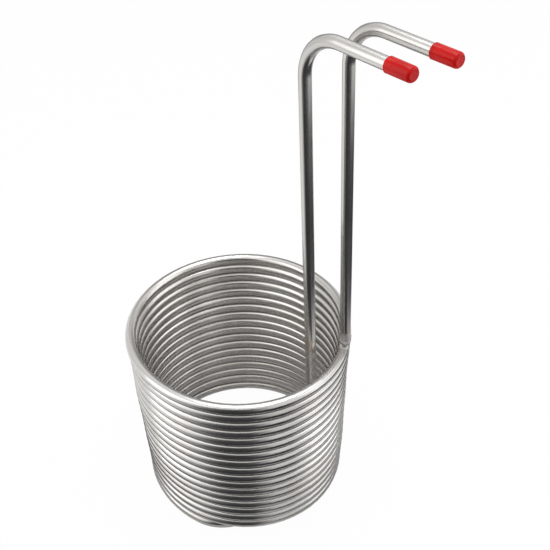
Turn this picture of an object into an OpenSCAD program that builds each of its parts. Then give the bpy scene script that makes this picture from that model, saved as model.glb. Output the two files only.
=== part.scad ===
// Immersion wort chiller: one stainless tube wound into a standing coil of turns,
// with two straight risers welded to its ends. Each riser bends over at the top
// into a level hose leg, and a soft plastic cap closes each leg's end.
//
// Frame: millimetres, +Z up. The origin is on the coil's axis, at the flat ground
// under the lowest turn. The coil descends counter-clockwise seen from above: the
// outlet riser stands on its top end, and the inlet riser on its bottom end,
// inside the coil.

/* [Tube] */
// Outside diameter of the stainless tube
tube_d = 10; // [8:0.5:12]
// Wall thickness of the stainless tube
tube_wall = 1; // [0.6:0.1:1.5]

/* [Coil] */
// Mean radius of the coil's centreline
coil_r = 100.3; // [85:0.1:130]
// How much wider the coil is at its top turn than at its lowest, on the radius
coil_taper = 6; // [0:0.1:10]
// How far the top turn spreads out over the next one, opposite its end
top_turn_spread = 1.3; // [0:0.1:4]
// How far hand winding leaves the coil out of round, on the radius
coil_oval = 4.1; // [0:0.1:6]
// Direction of the oval's long axis, seen from above
oval_angle = -56.6; // [-90:0.1:90]
// How far the top turn is out over the lowest one, towards +X
coil_lean = 3.9; // [0:0.1:6]
// Whole turns before the last, partial one
turns = 17; // [4:1:22]
// Gap between one turn and the next
turn_gap = 0.45; // [0.45:0.05:3]
// Direction of the coil's top end, seen from above
top_end_angle = -14.2; // [-30:0.1:0]
// Direction where the lowest turn leaves the coil's circle
leave_angle = 240; // [220:1:290]
// How far ahead of the other turns the last one drops to the ground
last_turn_lead = 20; // [0:1:40]
// Radius of the inward bend at the bottom
inward_bend_r = 45; // [40:0.1:80]
// Angle of the inward bend at the bottom
inward_bend_angle = 60.6; // [40:0.1:95]
// Straight run from the inward bend to the inlet riser
inlet_run = 79.6; // [10:0.1:100]
// Straight stretch at the coil's top end, before the outlet riser
coil_end = 10; // [10:1:20]
// Depth of the flat ground under the lowest turn
ground_depth = 0.5; // [0.2:0.1:1]

/* [Risers] */
// Height of the hose legs' axes above the ground
leg_z = 500; // [380:1:600]
// Radius of the bend from riser to hose leg
riser_bend_r = 35.7; // [25:0.1:50]
// Direction of both hose legs, seen from above
leg_angle = -53.7; // [-75:0.1:-40]
// Reach of the outlet's hose leg, from its riser's axis to the open end
outlet_reach = 99.9; // [80:0.1:150]
// Reach of the inlet's hose leg, from its riser's axis to the open end
inlet_reach = 101.7; // [80:0.1:150]

/* [Welds] */
// Width of a weld bead across the joint
weld_w = 3.2; // [2:0.1:5]
// Height of a weld bead over the tube
weld_h = 0.35; // [0.2:0.05:0.8]

/* [Caps] */
// Wall thickness of a cap
cap_wall = 0.8; // [0.6:0.1:1.5]
// Thickness of a cap's closed end
cap_end = 1.4; // [1:0.1:3]
// Length of tube inside a cap
cap_grip = 20.5; // [12:0.5:30]
// Clearance between a cap's bore and the tube, on the radius
cap_clearance = 0.05; // [0.03:0.01:0.1]
// Gap between the tube's open end and a cap's closed end
cap_end_gap = 0.3; // [0.1:0.1:1]
// Bevel round a cap's closed end
cap_bevel = 1; // [0.4:0.1:1.5]

/* [Hidden] */

steel = [0.72, 0.72, 0.73];
weld_steel = [0.60, 0.59, 0.58];
cap_red = [0.80, 0.09, 0.07];
round_fn = 64;

tube_r = tube_d / 2;
bore_r = tube_r - tube_wall;
pitch = tube_d + turn_gap;

// Heights of the tube's axis. A turn is a sloping half, which drops one pitch,
// and a level half. The last level stretch is the one that stands on the ground.
ground_axis_z = tube_r - ground_depth;
top_axis_z = ground_axis_z + (turns + 1) * pitch;

// The tube's axis by the angle wound on from the coil's top end
last_slope_on = 360 * turns - last_turn_lead;
leave_on = 360 * turns + leave_angle - top_end_angle;
wound_angle = leave_on + inward_bend_angle;
function around(radius, angle) = [radius * cos(angle), radius * sin(angle)];
function heading(from, to) = atan2(to.y - from.y, to.x - from.x);
function wound_r(on) = coil_r + coil_taper * (0.5 - on / 360 / (turns + 1))
    + coil_oval * cos(2 * (top_end_angle + on - oval_angle))
    + top_turn_spread / 2 * (1 - cos(min(max(on, 0), 360)));
function wound(on) = around(wound_r(on), top_end_angle + on)
    + [coil_lean * (0.5 - on / 360 / (turns + 1)), 0];
leave_point = wound(leave_on);
leave_out_angle = heading(wound(leave_on - 0.1), wound(leave_on + 0.1)) - 90;
function half_drop(on) = pitch / 2 * (1 - cos(min(on, 180)));
function drop(on) = on < last_slope_on
    ? pitch * floor(on / 360) + half_drop(on % 360)
    : pitch * turns + half_drop(on - last_slope_on);
function plan(on) = on < leave_on
    ? wound(on)
    : leave_point - around(inward_bend_r, leave_out_angle)
        + around(inward_bend_r, out_angle(on));
function axis_point(on) = concat(plan(on), top_axis_z - drop(on));

// Direction out of the curve that the tube's axis follows, seen from above
function out_angle(on) = on < leave_on
    ? heading(wound(on - 0.1), wound(on + 0.1)) - 90
    : leave_out_angle + on - leave_on;

// Corners where the coil's straight ends meet the risers' axes, and the
// directions in which the tube runs from each corner back into the coil
top_run_angle = out_angle(0) + 90;
bottom_run_angle = out_angle(wound_angle) - 90;
top_corner = plan(0) - around(coil_end, top_run_angle);
bottom_corner = plan(wound_angle) - around(inlet_run, bottom_run_angle);

// Least gap between stretches of the tube that lie about one turn apart
self_gap = min([for (on = [0:9:wound_angle - 300], ahead = [300:4:420])
    norm(axis_point(min(on + ahead, wound_angle)) - axis_point(on))]) - tube_d;
echo(least_gap_between_turns = self_gap);
assert(self_gap > 0.4, "the turns come closer than 0.4 mm");

cap_bore_r = tube_r + cap_clearance;
cap_r = cap_bore_r + cap_wall;
cap_length = cap_grip + cap_end_gap + cap_end;

// Rings of points round the wound tube. Each is given by its centre, the direction
// of its level radius and how far it leans along run_angle to lie in a mitre.
rings_per_turn = 20;
ring_sides = 6;
wound_steps = ceil(wound_angle / 360 * rings_per_turn);
function ring(centre, level_angle, radius, lean = 0, run_angle = 0) =
    [for (side = [0:ring_sides - 1]) let (
        across = radius * cos(90 + 360 / ring_sides * side),
        up = radius * sin(90 + 360 / ring_sides * side)
    ) centre + concat(around(across, level_angle) + around(lean * up, run_angle), up)];
function skin(radius) = concat(
    ring(concat(top_corner, top_axis_z), out_angle(0), radius, 1, top_run_angle),
    [for (step = [0:wound_steps]) let (on = wound_angle * step / wound_steps)
        each ring(axis_point(on), out_angle(on), radius)],
    ring(concat(bottom_corner, ground_axis_z), out_angle(wound_angle), radius, 1,
        bottom_run_angle));

// Triangles of one skin, from ring to ring, and of the flat ends between the skins
last_ring = wound_steps + 2;
skin_points = (last_ring + 1) * ring_sides;
function corner(ring_number, side) = ring_number * ring_sides + side % ring_sides;
function skin_faces(first, inward) = [for (step = [0:last_ring - 1], side = [0:ring_sides - 1])
    let (a = first + corner(step, side), b = first + corner(step, side + 1),
         c = first + corner(step + 1, side + 1), d = first + corner(step + 1, side))
    each (inward ? [[a, c, b], [a, d, c]] : [[a, b, c], [a, c, d]])];
function end_faces(ring_number, flip) = [for (side = [0:ring_sides - 1])
    let (a = corner(ring_number, side), b = corner(ring_number, side + 1),
         c = skin_points + b, d = skin_points + a)
    each (flip ? [[a, c, b], [a, d, c]] : [[a, b, c], [a, c, d]])];

// The whole wound tube, with its straight ends and its bore, before it is ground
module wound_tube() {
    polyhedron(
        points = concat(skin(tube_r), skin(bore_r)),
        faces = concat(skin_faces(0, false), skin_faces(skin_points, true),
            end_faces(0, true), end_faces(last_ring, false)),
        convexity = 10);
}

// Section of the straight and bent tube of the risers
module section() {
    difference() {
        circle(r = tube_r, $fn = round_fn);
        circle(r = bore_r, $fn = round_fn);
    }
}

// Straight tube up the Z axis
module tube_run(length) {
    linear_extrude(height = length) section();
}

// Everything on one side of the mitre between a level run and a riser. The space
// kept holds the level run, which leaves the corner along +X.
module level_side_of_mitre(size) {
    rotate([0, 45, 0]) translate([0, -size, -size]) cube(2 * size);
}

// Riser with its foot cut to the same mitre, its bend and its hose leg along +X.
// run_turn is the direction of the level run at the foot, counted from the leg's.
module riser(height, reach, run_turn) {
    difference() {
        translate([0, 0, -tube_d]) tube_run(height - riser_bend_r + tube_d);
        rotate([0, 0, run_turn]) level_side_of_mitre(4 * tube_d);
    }
    translate([riser_bend_r, 0, height - riser_bend_r]) rotate([90, 0, 0]) rotate([0, 0, 90])
        rotate_extrude(angle = 90, $fn = 2 * round_fn) translate([riser_bend_r, 0]) section();
    translate([riser_bend_r, 0, height]) rotate([0, 90, 0]) tube_run(reach - riser_bend_r);
}

// Bead round a mitred corner: a slab along the mitre, rounding both tubes
module weld_bead() {
    intersection() {
        rotate([0, 45, 0]) translate([-weld_w / 2, -2 * tube_d, -2 * tube_d])
            cube([weld_w, 4 * tube_d, 4 * tube_d]);
        difference() {
            corner_of_rods(tube_r + weld_h);
            corner_of_rods(tube_r);
        }
    }
}

// Solid level rod and upright rod that meet at a mitre
module corner_of_rods(radius) {
    intersection() {
        translate([-2 * tube_d, 0, 0]) rotate([0, 90, 0])
            cylinder(r = radius, h = 4 * tube_d, $fn = round_fn);
        level_side_of_mitre(4 * tube_d);
    }
    difference() {
        translate([0, 0, -2 * tube_d]) cylinder(r = radius, h = 4 * tube_d, $fn = round_fn);
        level_side_of_mitre(4 * tube_d);
    }
}

module above_ground() {
    intersection() {
        children();
        translate([-2 * coil_r, -2 * coil_r, 0]) cube([4 * coil_r, 4 * coil_r, 2 * leg_z]);
    }
}

module coil_tube() {
    color(steel) above_ground() wound_tube();
}

module outlet_riser() {
    color(steel) translate([top_corner.x, top_corner.y, top_axis_z])
        rotate([0, 0, leg_angle])
            riser(leg_z - top_axis_z, outlet_reach, top_run_angle - leg_angle);
}

module inlet_riser() {
    color(steel) above_ground()
        translate([bottom_corner.x, bottom_corner.y, ground_axis_z])
            rotate([0, 0, leg_angle])
                riser(leg_z - ground_axis_z, inlet_reach, bottom_run_angle - leg_angle);
}

module outlet_weld() {
    color(weld_steel) translate([top_corner.x, top_corner.y, top_axis_z])
        rotate([0, 0, top_run_angle]) weld_bead();
}

module inlet_weld() {
    color(weld_steel) above_ground()
        translate([bottom_corner.x, bottom_corner.y, ground_axis_z])
            rotate([0, 0, bottom_run_angle]) weld_bead();
}

// Cap with its open rim at the origin's plane, its closed end along +X
module cap() {
    rotate([0, 90, 0]) difference() {
        union() {
            cylinder(r = cap_r, h = cap_length - cap_bevel, $fn = round_fn);
            translate([0, 0, cap_length - cap_bevel])
                cylinder(r1 = cap_r, r2 = cap_r - cap_bevel, h = cap_bevel, $fn = round_fn);
        }
        translate([0, 0, -1])
            cylinder(r = cap_bore_r, h = cap_length - cap_end + 1, $fn = round_fn);
    }
}

// Cap on the leg of the riser that stands at this corner
module cap_on_leg(corner, reach) {
    color(cap_red) translate([corner.x, corner.y, leg_z]) rotate([0, 0, leg_angle])
        translate([reach - cap_grip, 0, 0]) cap();
}

module outlet_cap() cap_on_leg(top_corner, outlet_reach);
module inlet_cap() cap_on_leg(bottom_corner, inlet_reach);

coil_tube();
outlet_riser();
inlet_riser();
outlet_weld();
inlet_weld();
outlet_cap();
inlet_cap();
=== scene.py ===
import math

import bpy
from mathutils import Matrix, Vector


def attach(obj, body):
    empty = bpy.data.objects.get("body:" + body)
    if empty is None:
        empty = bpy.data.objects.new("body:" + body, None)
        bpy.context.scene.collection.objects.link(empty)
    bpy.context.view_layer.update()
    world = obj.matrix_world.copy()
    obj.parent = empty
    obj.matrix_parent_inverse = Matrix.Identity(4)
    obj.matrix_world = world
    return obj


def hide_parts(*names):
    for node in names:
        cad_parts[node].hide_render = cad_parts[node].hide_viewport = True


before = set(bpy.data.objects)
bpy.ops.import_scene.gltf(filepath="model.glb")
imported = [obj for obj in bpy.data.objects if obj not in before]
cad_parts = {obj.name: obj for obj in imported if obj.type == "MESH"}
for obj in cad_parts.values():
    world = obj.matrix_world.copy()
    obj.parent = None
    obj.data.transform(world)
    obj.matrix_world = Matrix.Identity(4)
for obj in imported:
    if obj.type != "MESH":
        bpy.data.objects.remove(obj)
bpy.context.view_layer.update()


# Cooling coil. One length of drawn stainless tube, wound left-handed into close turns
# on a mandrel. Each turn runs level at the front and steps down at the back. The lowest
# one stands on the ground and turns inwards to the foot of the inlet riser.
TUBE_RADIUS = 0.005
TUBE_WALL = 0.001
TUBE_SIDES = 14
COIL_RADIUS = 0.1003
COIL_TAPER = 0.006
COIL_OVAL = 0.0041
COIL_LEAN = 0.0039
TOP_TURN_SPREAD = 0.0013
WAVES = [  # depth, waves to a turn, start
    (0.0003, 0.93, 1.0),
    (0.0002, 2.17, 0.0),
]
WHOLE_TURNS = 17
PITCH = 0.01045
GROUND_AXIS_Z = 0.0045
TOP_AXIS_Z = GROUND_AXIS_Z + (WHOLE_TURNS + 1) * PITCH
INWARD_BEND_RADIUS = 0.045
INLET_RUN = 0.0796
STRAIGHT_END = 0.01
STEPS_PER_TURN = 64
INLET_RUN_STEPS = 6

# Directions from the coil's axis, seen from above: of its widest side, of the tube's
# top end, and where the lowest turn leaves for the inlet riser.
OVAL_TURN = math.radians(-56.6)
TOP_END = math.radians(-14.2)
LEAVE_TURN = math.radians(240)

# Angles wound on from the top end: to the last step down, to where the lowest turn
# leaves, and to the end of its bend. The waves fade in and out over WAVE_FADE.
FULL_TURN = 2 * math.pi
LAST_SLOPE_ON = FULL_TURN * WHOLE_TURNS - math.radians(20)
LEAVE_ON = FULL_TURN * WHOLE_TURNS + LEAVE_TURN - TOP_END
INWARD_BEND = math.radians(60.6)
WOUND = LEAVE_ON + INWARD_BEND
WAVE_FADE = 2
HEADING_STEP = 0.0017


def around(radius, angle):
    return Vector((radius * math.cos(angle), radius * math.sin(angle), 0))


def stepped_down(turned):
    """0 to 1 over half a turn, level at both ends."""
    return (1 - math.cos(min(turned, math.pi))) / 2


def coil_drop(on):
    """Height lost, by the angle wound on from the coil's top end."""
    if on < LAST_SLOPE_ON:
        return PITCH * (on // FULL_TURN + stepped_down(on % FULL_TURN))
    return PITCH * (WHOLE_TURNS + stepped_down(on - LAST_SLOPE_ON))


def wound_plan(on):
    """Place in plan on the slightly oval, tapering coil. Winding by hand leaves waves."""
    wave = sum(depth * math.sin(often * on + start) for depth, often, start in WAVES)
    wave *= min(1, on / WAVE_FADE, max(0, LEAVE_ON - on) / WAVE_FADE)
    height = 0.5 - on / FULL_TURN / (WHOLE_TURNS + 1)
    oval = COIL_OVAL * math.cos(2 * (TOP_END + on - OVAL_TURN))
    spread = TOP_TURN_SPREAD / 2 * (1 - math.cos(min(max(on, 0), FULL_TURN)))
    radius = COIL_RADIUS + COIL_TAPER * height + oval + spread + wave
    return around(radius, TOP_END + on) + Vector((COIL_LEAN * height, 0, 0))


def wound_heading(on):
    """Direction of winding, seen from above, by the angle wound on."""
    way = wound_plan(on + HEADING_STEP) - wound_plan(on - HEADING_STEP)
    return math.atan2(way.y, way.x)


def coil_axis(on):
    """Point of the tube's axis, by the angle wound on from the coil's top end."""
    if on < LEAVE_ON:
        plan = wound_plan(on)
    else:
        outwards = wound_heading(LEAVE_ON) - math.pi / 2
        plan = wound_plan(LEAVE_ON) - around(INWARD_BEND_RADIUS, outwards)
        plan += around(INWARD_BEND_RADIUS, outwards + on - LEAVE_ON)
    return plan + Vector((0, 0, TOP_AXIS_Z - coil_drop(on)))


# The runs point from the corners, where the risers stand, back into the coil.
UP = Vector((0, 0, 1))
top_run = around(1, wound_heading(0))
bottom_run = around(1, wound_heading(LEAVE_ON) + INWARD_BEND + math.pi)
top_corner = coil_axis(0) - STRAIGHT_END * top_run
bottom_corner = coil_axis(WOUND) - INLET_RUN * bottom_run


def round_skin(name, places, scales, radius, sides, twist="MINIMUM", ring=False):
    """Skin of a round bar along the places, with its radius scaled at each of them."""
    curve = bpy.data.curves.new(name, "CURVE")
    curve.dimensions = "3D"
    curve.twist_mode = twist
    curve.bevel_depth = radius
    # A round bevel has 4 sides, and 2 more for each step of its resolution.
    curve.bevel_resolution = (sides - 4) // 2
    spline = curve.splines.new("POLY")
    spline.points.add(len(places) - 1)
    spline.use_cyclic_u = ring
    for point, place, scale in zip(spline.points, places, scales):
        point.co = (*place, 1)
        point.radius = scale
    skin = bpy.data.objects.new(name, curve)
    bpy.context.collection.objects.link(skin)
    bpy.ops.object.select_all(action="DESELECT")
    bpy.context.view_layer.objects.active = skin
    skin.select_set(True)
    bpy.ops.object.convert(target="MESH")
    return skin


def flatten_below_ground(piece):
    for vertex in piece.data.vertices:
        vertex.co.z = max(vertex.co.z, 0)


def tube_along(name, points, mitres, twist="MINIMUM", end_scale=1):
    """Hollow round tube along the points. Each mitre cuts the tube's first (0) or last
    (-1) ring to a plane: (which ring, point of the plane, its normal, tube's direction).
    """
    scales = [1] * (len(points) - 1) + [end_scale]
    tube = round_skin(name, points, scales, TUBE_RADIUS, TUBE_SIDES, twist)
    mesh = tube.data

    for end, corner, normal, direction in mitres:
        first = 0 if end == 0 else len(mesh.vertices) - TUBE_SIDES
        for vertex in mesh.vertices[first:first + TUBE_SIDES]:
            past = (vertex.co - corner).dot(normal) / direction.dot(normal)
            vertex.co -= past * direction
    flatten_below_ground(tube)

    # The UV map holds the length along the tube, in metres, and the turn round it.
    lengths = [0]
    for before, after in zip(points, points[1:]):
        lengths.append(lengths[-1] + (after - before).length)
    layer = mesh.uv_layers.active or mesh.uv_layers.new(name="UVMap")
    for face in mesh.polygons:
        corners = [mesh.loops[i].vertex_index for i in face.loop_indices]
        crosses_seam = max(corner % TUBE_SIDES for corner in corners) > TUBE_SIDES / 2
        for i, corner in zip(face.loop_indices, corners):
            turn = corner % TUBE_SIDES / TUBE_SIDES
            if turn == 0 and crosses_seam:
                turn = 1
            layer.data[i].uv = (lengths[corner // TUBE_SIDES], turn)

    bpy.ops.object.modifier_add(type="SOLIDIFY")
    tube.modifiers["Solidify"].thickness = TUBE_WALL
    tube.modifiers["Solidify"].offset = -1
    bpy.ops.object.modifier_apply(modifier="Solidify")
    bpy.ops.object.shade_smooth_by_angle(angle=math.radians(35))
    return tube


class Channel:
    """One value or colour of a finish. Arithmetic on it adds Math nodes, and | takes the
    greater of two values."""

    def __init__(self, tree, socket=None):
        self.tree = tree
        self.socket = socket

    def node(self, kind, inputs, output=0, **settings):
        made = self.tree.nodes.new("ShaderNode" + kind)
        for name, value in settings.items():
            setattr(made, name, value)
        for name, value in inputs.items():
            if isinstance(value, Channel):
                self.tree.links.new(value.socket, made.inputs[name])
            else:
                made.inputs[name].default_value = value
        return Channel(self.tree, made.outputs[output])

    def beside(self, output):
        """Another output of the node that this channel comes from."""
        return Channel(self.tree, self.socket.node.outputs[output])

    def math(self, operation, *others):
        return self.node("Math", dict(enumerate((self, *others))), operation=operation)

    def __add__(self, other):
        return self.math("ADD", other)

    def __sub__(self, other):
        return self.math("SUBTRACT", other)

    def __rsub__(self, other):
        return self * -1.0 + other

    def __mul__(self, other):
        return self.math("MULTIPLY", other)

    def __or__(self, other):
        return self.math("MAXIMUM", other)

    def __abs__(self):
        return self.math("ABSOLUTE")

    __radd__ = __add__
    __rmul__ = __mul__
    __ror__ = __or__

    def between(self, low, high):
        """0 below low, 1 above high and smooth between them, or the other way round."""
        return self.node("MapRange", {0: self, 1: low, 2: high, 3: 0.0, 4: 1.0},
                         interpolation_type="SMOOTHSTEP")

    def within(self, low, full_from, full_to, high):
        """1 from full_from to full_to, and smoothly down to 0 at low and at high."""
        return self.between(low, full_from) * self.between(high, full_to)

    def tinted(self, base, tint):
        """The base colour, turned to the tint where this channel is 1."""
        return self.node("Mix", {0: self, 6: base, 7: tint}, output=2, data_type="RGBA")

    def noise(self, place, scale, detail=2.0):
        return self.node("TexNoise", {"Vector": place, "Scale": scale, "Detail": detail})


def new_finish(name):
    """A material with its surface shader, and the channel that its nodes grow from."""
    material = bpy.data.materials.new(name)
    material.use_nodes = True
    return material, material.node_tree.nodes["Principled BSDF"], Channel(material.node_tree)


def feed(shader, **channels):
    """Joins channels to the shader's sockets. Base_Color stands for Base Color."""
    for name, channel in channels.items():
        channel.tree.links.new(channel.socket, shader.inputs[name.replace("_", " ")])


# Colours of the steel, and of the marks on it with their edges and strengths. An edge is
# two distances from a mark's middle: where it starts and where it is full. Blotches
# shift them.
STEEL_DARK, STEEL_LIGHT = (0.61, 0.59, 0.56, 1), (0.75, 0.74, 0.72, 1)
# The darker grey round each weld is painted shade: it stands in for the darker reflection of
# the metal near the welds.
WELD_SHADE_GREY, WELD_SHADE_EDGE, WELD_SHADE_STRENGTH = (0.36, 0.35, 0.34, 1), (0.085, 0.025), 0.5
HEAT_BROWN, HEAT_EDGE, HEAT_STRENGTH = (0.42, 0.27, 0.16, 1), (0.021, 0.012), 0.16
PICKLED_DARK, PICKLED_LIGHT = (0.50, 0.49, 0.47, 1), (0.82, 0.81, 0.79, 1)
PICKLED_EDGE, PICKLED_MATTE = (0.0125, 0.0085), 0.28
STAIN_BROWN, STAIN_EDGE, STAIN_STRENGTH = (0.50, 0.33, 0.24, 1), (0.013, 0.004), 0.30
BLOTCH_SHIFT = 0.006


def drawn_steel(name, welds, stained=None):
    """Drawn and polished stainless tube: fine streaks along it and wipe marks. Round each
    weld a darker grey is painted in as shade, with a faint heat tint and a matte pickled
    patch. A stain, where its height is given, goes round the tube."""
    material, shader, start = new_finish(name)
    along = start.node("SeparateXYZ", {0: start.node("TexCoord", {}, output="UV")})
    turn = along.beside("Y") * FULL_TURN
    place = start.node("TexCoord", {}, output="Object")

    def drawn_lines(lines, stretch):
        ring = {0: turn.math("COSINE") * lines, 1: turn.math("SINE") * lines,
                2: along * stretch}
        return start.noise(start.node("CombineXYZ", ring), 1.0)

    fine = drawn_lines(lines=9.0, stretch=14.0)
    broad = drawn_lines(lines=1.6, stretch=9.0)
    wiped = start.noise(place, 26.0, 3.0)
    blotch = start.noise(place, 140.0, 3.0)
    shift = blotch * BLOTCH_SHIFT - BLOTCH_SHIFT / 2

    colour = broad.between(0.3, 0.7).tinted(STEEL_DARK, STEEL_LIGHT)
    roughness = fine * 0.06 + wiped * 0.12 + 0.14
    for corner in welds:
        near = start.node("VectorMath", {0: place, 1: corner}, output="Value",
                          operation="DISTANCE") + shift
        # Painted shade: a darker grey round the weld, for the darker reflection there.
        colour = (near.between(*WELD_SHADE_EDGE) * WELD_SHADE_STRENGTH).tinted(colour, WELD_SHADE_GREY)
        colour = (near.between(*HEAT_EDGE) * HEAT_STRENGTH).tinted(colour, HEAT_BROWN)
        pickled = near.between(*PICKLED_EDGE)
        patch = blotch.between(0.4, 0.6).tinted(PICKLED_DARK, PICKLED_LIGHT)
        colour = pickled.tinted(colour, patch)
        roughness = roughness + pickled * PICKLED_MATTE
    if stained is not None:
        height = start.node("SeparateXYZ", {0: place}, output="Z")
        band = abs(height - stained + shift).between(*STAIN_EDGE) * STAIN_STRENGTH
        colour = band.tinted(colour, STAIN_BROWN)
    grain = start.node("Bump", {"Strength": 0.03, "Distance": 0.0002,
                                "Height": broad + fine * 0.2}, output="Normal")
    feed(shader, Base_Color=colour, Roughness=roughness, Normal=grain)
    shader.inputs["Metallic"].default_value = 1.0
    return material


coil_points = [top_corner, (top_corner + coil_axis(0)) / 2]
coil_steps = math.ceil(WOUND / FULL_TURN * STEPS_PER_TURN)
coil_points += [coil_axis(WOUND * step / coil_steps) for step in range(coil_steps + 1)]
coil_points += [coil_axis(WOUND).lerp(bottom_corner, step / INLET_RUN_STEPS)
                for step in range(1, INLET_RUN_STEPS + 1)]
coil = tube_along("wound_coil", coil_points, twist="Z_UP", mitres=[
    (0, top_corner, top_run - UP, top_run),
    (-1, bottom_corner, bottom_run - UP, bottom_run),
])
coil.data.materials.append(drawn_steel("drawn_coil_steel", [top_corner, bottom_corner]))
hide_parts("coil_tube")
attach(coil, "chiller")


# Risers. The same drawn tube, mitred and welded at the foot. The outlet stands on the
# coil's top end and the inlet on its lowest turn, inside the coil. Both are bent over
# at the top into level hose legs, with the cut ends chamfered.
LEG_Z = 0.5
RISER_BEND_RADIUS = 0.0357
OUTLET_REACH = 0.0999
INLET_REACH = 0.1017
CHAMFER = 0.0003
FOOT_STEPS = 16
BEND_STEPS = 24
STAIN_Z = 0.203
leg_way = around(1, math.radians(-53.7))


def leg_axis(corner, reach):
    """Point of a hose leg's axis, by the distance that it reaches out from its riser."""
    return Vector((corner.x, corner.y, LEG_Z)) + leg_way * reach


def riser(name, corner, run, reach, stained=None):
    bend_centre = corner + leg_way * RISER_BEND_RADIUS
    bend_centre.z = LEG_Z - RISER_BEND_RADIUS
    foot_top = Vector((corner.x, corner.y, bend_centre.z))
    points = [corner.lerp(foot_top, step / FOOT_STEPS) for step in range(FOOT_STEPS)]
    for step in range(BEND_STEPS + 1):
        bent = math.pi / 2 * step / BEND_STEPS
        points.append(bend_centre - leg_way * RISER_BEND_RADIUS * math.cos(bent)
                      + UP * RISER_BEND_RADIUS * math.sin(bent))
    leg_end = leg_axis(corner, reach)
    points += [points[-1].lerp(leg_end, 0.5), leg_end - leg_way * CHAMFER, leg_end]
    tube = tube_along(name, points, mitres=[(0, corner, run - UP, UP)],
                      end_scale=1 - CHAMFER / TUBE_RADIUS)
    tube.data.materials.append(drawn_steel(name + "_steel", [corner], stained))
    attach(tube, "chiller")
    return tube


outlet = riser("outlet_riser_tube", top_corner, top_run, OUTLET_REACH)
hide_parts("outlet_riser")
inlet = riser("inlet_riser_tube", bottom_corner, bottom_run, INLET_REACH, stained=STAIN_Z)
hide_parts("inlet_riser")


# Weld beads. One pass of filler round each mitred corner, laid in short overlapping
# ripples, thicker inside and outside the corner than at its sides, and pickled to a
# matte grey. The bead's own axis lies under the tube's surface.
BEAD_RADIUS = 0.0019
BEAD_AXIS_DEPTH = 0.0015
BEAD_SIDES = 12
BEAD_RIPPLES = 30
BEAD_STEPS = 8 * BEAD_RIPPLES
INSIDE_FILL = 0.6
OUTSIDE_FILL = 0.36
RIPPLE_DEPTH = 0.07
UNEVENNESS = 0.03
BEAD_DARK, BEAD_LIGHT = (0.40, 0.385, 0.37, 1), (0.66, 0.65, 0.64, 1)

weld_steel, shader, start = new_finish("pickled_weld_steel")
place = start.node("TexCoord", {}, output="Object")
scale_marks = start.noise(place, 420.0, 4.0)
feed(
    shader,
    Base_Color=scale_marks.between(0.35, 0.7).tinted(BEAD_DARK, BEAD_LIGHT),
    Roughness=scale_marks * 0.25 + 0.36,
    Normal=start.node("Bump", {"Strength": 0.5, "Distance": 0.0003,
                               "Height": scale_marks}, output="Normal"),
)
shader.inputs["Metallic"].default_value = 1.0


def weld_bead(name, corner, run, joint):
    across = run.cross(UP)
    places, scales = [], []
    for step in range(BEAD_STEPS):
        turn = FULL_TURN * step / BEAD_STEPS
        inwards = math.sin(turn)
        places.append(corner + (TUBE_RADIUS - BEAD_AXIS_DEPTH) * (
            math.cos(turn) * across + inwards * (run + UP)))
        ripple = step * BEAD_RIPPLES / BEAD_STEPS % 1
        scales.append(1 + OUTSIDE_FILL * max(0, -inwards) + INSIDE_FILL * max(0, inwards)
                      - RIPPLE_DEPTH * ripple ** 2 + UNEVENNESS * math.sin(5 * turn))
    bead = round_skin(name, places, scales, BEAD_RADIUS, BEAD_SIDES, ring=True)
    flatten_below_ground(bead)
    bpy.ops.object.shade_smooth_by_angle(angle=math.radians(50))
    bead.data.materials.append(weld_steel)
    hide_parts(joint)
    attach(bead, "chiller")


weld_bead("outlet_weld_bead", top_corner, top_run, "outlet_weld")
weld_bead("inlet_weld_bead", bottom_corner, bottom_run, "inlet_weld")


# Push-on caps. Dip-moulded soft red plastic, one over the end of each hose leg, with a
# thin open rim, a bevelled shoulder and a closed end with a slightly raised edge.
CAP_RIM_RADIUS = 0.00565
CAP_GRIP = 0.0205
CAP_WALL = 0.0007
CAP_SIDES = 64
CAP_PROFILE = [  # distance from the rim, radius
    (0.0003, 0.00585), (0.0008, 0.00585), (0.0013, 0.00578), (0.0080, 0.00577),
    (0.0150, 0.00576), (0.0195, 0.00573), (0.0203, 0.00562), (0.0209, 0.00540),
    (0.0217, 0.00475), (0.0220, 0.00445), (0.02212, 0.0041), (0.0220, 0.0034),
    (0.0220, 0.0010),
]
CAP_DEEP, CAP_BRIGHT = (0.47, 0.002, 0.001, 1), (0.60, 0.004, 0.002, 1)

cap_plastic, shader, start = new_finish("red_cap_plastic")
place = start.node("TexCoord", {}, output="Object")
dimples = start.noise(place, 260.0, 2.0)
clouds = start.noise(place, 60.0, 3.0)
feed(
    shader,
    Base_Color=clouds.between(0.3, 0.7).tinted(CAP_DEEP, CAP_BRIGHT),
    Roughness=clouds * 0.10 + 0.20,
    Normal=start.node("Bump", {"Strength": 0.02, "Distance": 0.0004,
                               "Height": dimples}, output="Normal"),
)
shader.inputs["IOR"].default_value = 1.5
shader.inputs["Specular IOR Level"].default_value = 0.2
shader.inputs["Coat Weight"].default_value = 0.04
shader.inputs["Coat Roughness"].default_value = 0.12


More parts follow.
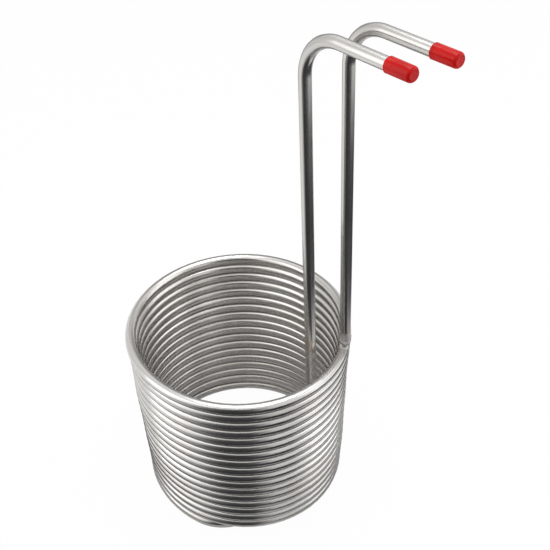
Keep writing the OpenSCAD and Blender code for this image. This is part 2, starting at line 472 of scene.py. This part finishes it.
def push_cap(name, corner, reach, node):
    bpy.ops.object.select_all(action="DESELECT")
    bpy.ops.mesh.primitive_circle_add(vertices=CAP_SIDES, radius=CAP_RIM_RADIUS)
    cap = bpy.context.object
    cap.name = name
    bpy.ops.object.mode_set(mode="EDIT")
    at, wide = 0, CAP_RIM_RADIUS
    for distance, radius in CAP_PROFILE:
        bpy.ops.mesh.extrude_region_move(
            TRANSFORM_OT_translate={"value": (0, 0, distance - at)})
        bpy.ops.transform.resize(value=(radius / wide, radius / wide, 1),
                                 center_override=(0, 0, distance))
        at, wide = distance, radius
    bpy.ops.mesh.extrude_region_move(TRANSFORM_OT_translate={"value": (0, 0, 0)})
    bpy.ops.mesh.merge(type="CENTER")
    bpy.ops.mesh.select_all(action="SELECT")
    bpy.ops.mesh.normals_make_consistent(inside=False)
    bpy.ops.object.mode_set(mode="OBJECT")
    bpy.ops.object.modifier_add(type="SOLIDIFY")
    cap.modifiers["Solidify"].thickness = CAP_WALL
    cap.modifiers["Solidify"].offset = -1
    bpy.ops.object.modifier_apply(modifier="Solidify")
    cap.matrix_world = (Matrix.Translation(leg_axis(corner, reach - CAP_GRIP))
                        @ UP.rotation_difference(leg_way).to_matrix().to_4x4())
    bpy.ops.object.transform_apply()
    bpy.ops.object.shade_smooth_by_angle(angle=math.radians(40))
    cap.data.materials.append(cap_plastic)
    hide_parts(node)
    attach(cap, node)


push_cap("outlet_push_cap", top_corner, OUTLET_REACH, "outlet_cap")
push_cap("inlet_push_cap", bottom_corner, INLET_REACH, "inlet_cap")


# Studio floor. A large matte white sheet that the chiller stands on. It glows where the
# camera sees it, so that only a faint shadow is left, and half as much in the metal.
FLOOR_SIZE = 14
FLOOR_WHITE = (0.85, 0.85, 0.85, 1)
GLOW_SEEN = 0.97
GLOW_IN_METAL = 0.5

bpy.ops.object.select_all(action="DESELECT")
bpy.ops.mesh.primitive_plane_add(size=FLOOR_SIZE)
floor = bpy.context.object
floor.name = "studio_floor"
floor_paint, shader, start = new_finish("white_floor")
shader.inputs["Base Color"].default_value = FLOOR_WHITE
shader.inputs["Roughness"].default_value = 0.9
shader.inputs["Specular IOR Level"].default_value = 0.1
seen = start.node("LightPath", {}, output="Is Camera Ray")
mirrored = seen.beside("Is Glossy Ray")
bare = Channel(start.tree, shader.outputs[0])
glow = start.node("Emission", {"Color": (1, 1, 1, 1), "Strength": 1.0})
glowing = seen * GLOW_SEEN + mirrored * GLOW_IN_METAL
mixed = start.node("MixShader", {0: glowing, 1: bare, 2: glow})
start.tree.links.new(mixed.socket, start.tree.nodes["Material Output"].inputs["Surface"])
floor.data.materials.append(floor_paint)


# Dark cards. They lie on a round mat and stand on a tub's wall round the chiller, and
# only show in the polished metal. They make the dark band down the front of the coil,
# the dark stripes of the risers and the lines between the turns. The mat's ring close
# round the coil is painted shadow: the shade on the floor there, as the metal sees it.
TUB_RADIUS = 0.82
TUB_HEIGHT = 1.0
TUB_SIDES = 96
MAT_RADIUS = 1.3
MAT_Z = 0.0002
CARD_BLACK = (0.042, 0.042, 0.046, 1)

# Each card's soft edges: where it starts and is full, and where it starts to fade and
# has ended. Across, they are directions from the coil's axis, in radians, with 0 in
# front and positive to the right. Up is the height, and out the distance from the axis.
FRONT_ACROSS = (-1.45, -0.35, -0.02, 0.42)
BACK_ACROSS = (2.52, 2.84)
FRONT_AND_BACK_UP = (TUB_HEIGHT, TUB_HEIGHT - 0.34)
RIGHT_ACROSS, RIGHT_UP = (0.7, 1.1, 2.1, 2.5), (0.25, 0.40, 0.70, 0.95)
RIGHT_MAT_ACROSS, RIGHT_MAT_OUT = (-1.20, -0.60, 2.0, 3.0), (0.26, 0.42, 0.80, 1.20)
FRONT_MAT_ACROSS, FRONT_MAT_OUT = (-1.35, -0.35, 0.5, 1.1), (0.12, 0.20)
# The ring close round the coil is painted shadow: the floor's shade there as the metal sees
# it, darker to the left.
FLOOR_SHADOW_OUT, FLOOR_SHADOW_LEFT = (0.30, 0.16), (0.3, -0.5)
MAT_UP = (0.004, 0.002)
COIL_TO_OUTSIDE, COIL_TO_INSIDE = (0.105, 0.140), (0.105, 0.085)

# How opaque each card is, and how much of that is left near the coil.
BACK_OPACITY = 0.6
RIGHT_OPACITY = 0.36
FLOOR_SHADOW_OPACITY, FLOOR_SHADOW_LEFT_OPACITY = 0.65, 0.9
UNDER_COIL, OUTSIDE_COIL, INSIDE_COIL = 0.4, 1.0, 0.78

bpy.ops.object.select_all(action="DESELECT")
bpy.ops.mesh.primitive_circle_add(vertices=TUB_SIDES, radius=MAT_RADIUS,
                                  fill_type="NGON", location=(0, 0, MAT_Z))
mat = bpy.context.object
bpy.ops.mesh.primitive_cylinder_add(vertices=TUB_SIDES, radius=TUB_RADIUS,
                                    depth=TUB_HEIGHT, end_fill_type="NOTHING",
                                    location=(0, 0, TUB_HEIGHT / 2 + MAT_Z))
tub = bpy.context.object
tub.name = "dark_cards"
mat.select_set(True)
bpy.ops.object.join()
bpy.ops.object.transform_apply()

tub_paint, shader, start = new_finish("dark_card_paint")
x = start.node("SeparateXYZ", {0: start.node("TexCoord", {}, output="Object")})
y, z = x.beside("Y"), x.beside("Z")
turned = x.math("ARCTAN2", y * -1.0)
away = (x * x + y * y).math("SQRT")

front = turned.within(*FRONT_ACROSS)
back = abs(turned).between(*BACK_ACROSS) * BACK_OPACITY
right = turned.within(*RIGHT_ACROSS) * z.within(*RIGHT_UP) * RIGHT_OPACITY
wall = (front | back) * z.between(*FRONT_AND_BACK_UP) | right

right_mat = away.within(*RIGHT_MAT_OUT) * turned.within(*RIGHT_MAT_ACROSS)
front_mat = away.between(*FRONT_MAT_OUT) * turned.within(*FRONT_MAT_ACROSS)
# Painted shadow: the floor's shade close round the coil, darker to the left, seen only in
# the metal.
ring = away.between(*FLOOR_SHADOW_OUT) * (
    turned.between(*FLOOR_SHADOW_LEFT) * (FLOOR_SHADOW_LEFT_OPACITY - FLOOR_SHADOW_OPACITY) + FLOOR_SHADOW_OPACITY)
ground = (right_mat | front_mat | ring) * z.between(*MAT_UP)

opacity = (away.between(*COIL_TO_OUTSIDE) * (OUTSIDE_COIL - UNDER_COIL)
           + away.between(*COIL_TO_INSIDE) * (INSIDE_COIL - UNDER_COIL) + UNDER_COIL)
clear = start.node("BsdfTransparent", {})
black = start.node("Emission", {"Color": CARD_BLACK, "Strength": 1.0})
mixed = start.node("MixShader", {0: (wall | ground) * opacity, 1: clear, 2: black})
start.tree.links.new(mixed.socket, start.tree.nodes["Material Output"].inputs["Surface"])
tub.data.materials.append(tub_paint)
tub.visible_camera = False
tub.visible_diffuse = False
tub.visible_shadow = False
tub.visible_transmission = False


# Room and lamps. The room is pure white to the camera, a little darker in the metal and
# darker again as a light. Three square soft boxes hang at the left, right and above.
ROOM_IN_METAL = 0.8
ROOM_AS_LIGHT = 0.55
LAMPS_AIM = Vector((0, 0, 0.2))

world = bpy.data.worlds.new("white_room")
bpy.context.scene.world = world
world.use_nodes = True
seen = Channel(world.node_tree).node("LightPath", {}, output="Is Camera Ray")
mirrored = seen.beside("Is Glossy Ray")
strength = (seen + mirrored * ROOM_IN_METAL) | ROOM_AS_LIGHT
room = world.node_tree.nodes["Background"]
room.inputs["Color"].default_value = (1, 1, 1, 1)
world.node_tree.links.new(strength.socket, room.inputs["Strength"])

for name, place, size, watts in (
    ("left_softbox", (-1.3, -0.5, 0.9), 1.5, 7.0),
    ("right_softbox", (1.3, -0.2, 0.8), 1.3, 6.0),
    ("top_softbox", (0.1, 0.2, 1.9), 1.2, 14.0),
):
    lamp = bpy.data.lights.new(name, "AREA")
    lamp.shape = "SQUARE"
    lamp.size = size
    lamp.energy = watts
    holder = bpy.data.objects.new(name, lamp)
    bpy.context.collection.objects.link(holder)
    holder.location = place
    aim = LAMPS_AIM - Vector(place)
    holder.rotation_euler = aim.to_track_quat("-Z", "Y").to_euler()


# Camera. It stands in front of the chiller and above it, looks down at it, turned a
# little to the right, and is tilted. The angles are in radians, the lens in millimetres.
CAMERA_PLACE = (0.0175, -0.6323, 0.7479)
CAMERA_YAW = 0.0358
CAMERA_PITCH = 0.6719
CAMERA_ROLL = -0.0509
CAMERA_LENS = 57.8
CAMERA_NEAR = 0.01

ahead = Vector((math.sin(CAMERA_YAW) * math.cos(CAMERA_PITCH),
                math.cos(CAMERA_YAW) * math.cos(CAMERA_PITCH), -math.sin(CAMERA_PITCH)))
level = Vector((math.cos(CAMERA_YAW), -math.sin(CAMERA_YAW), 0))
above = level.cross(ahead)
rolled_right = level * math.cos(CAMERA_ROLL) + above * math.sin(CAMERA_ROLL)
rolled_up = above * math.cos(CAMERA_ROLL) - level * math.sin(CAMERA_ROLL)
camera = bpy.data.objects.new("camera", bpy.data.cameras.new("camera"))
bpy.context.collection.objects.link(camera)
camera.data.lens = CAMERA_LENS
camera.data.clip_start = CAMERA_NEAR
camera.matrix_world = (Matrix.Translation(CAMERA_PLACE)
                       @ Matrix((rolled_right, rolled_up, -ahead)).transposed().to_4x4())
bpy.context.scene.camera = camera
bpy.context.scene.view_settings.view_transform = "Standard"
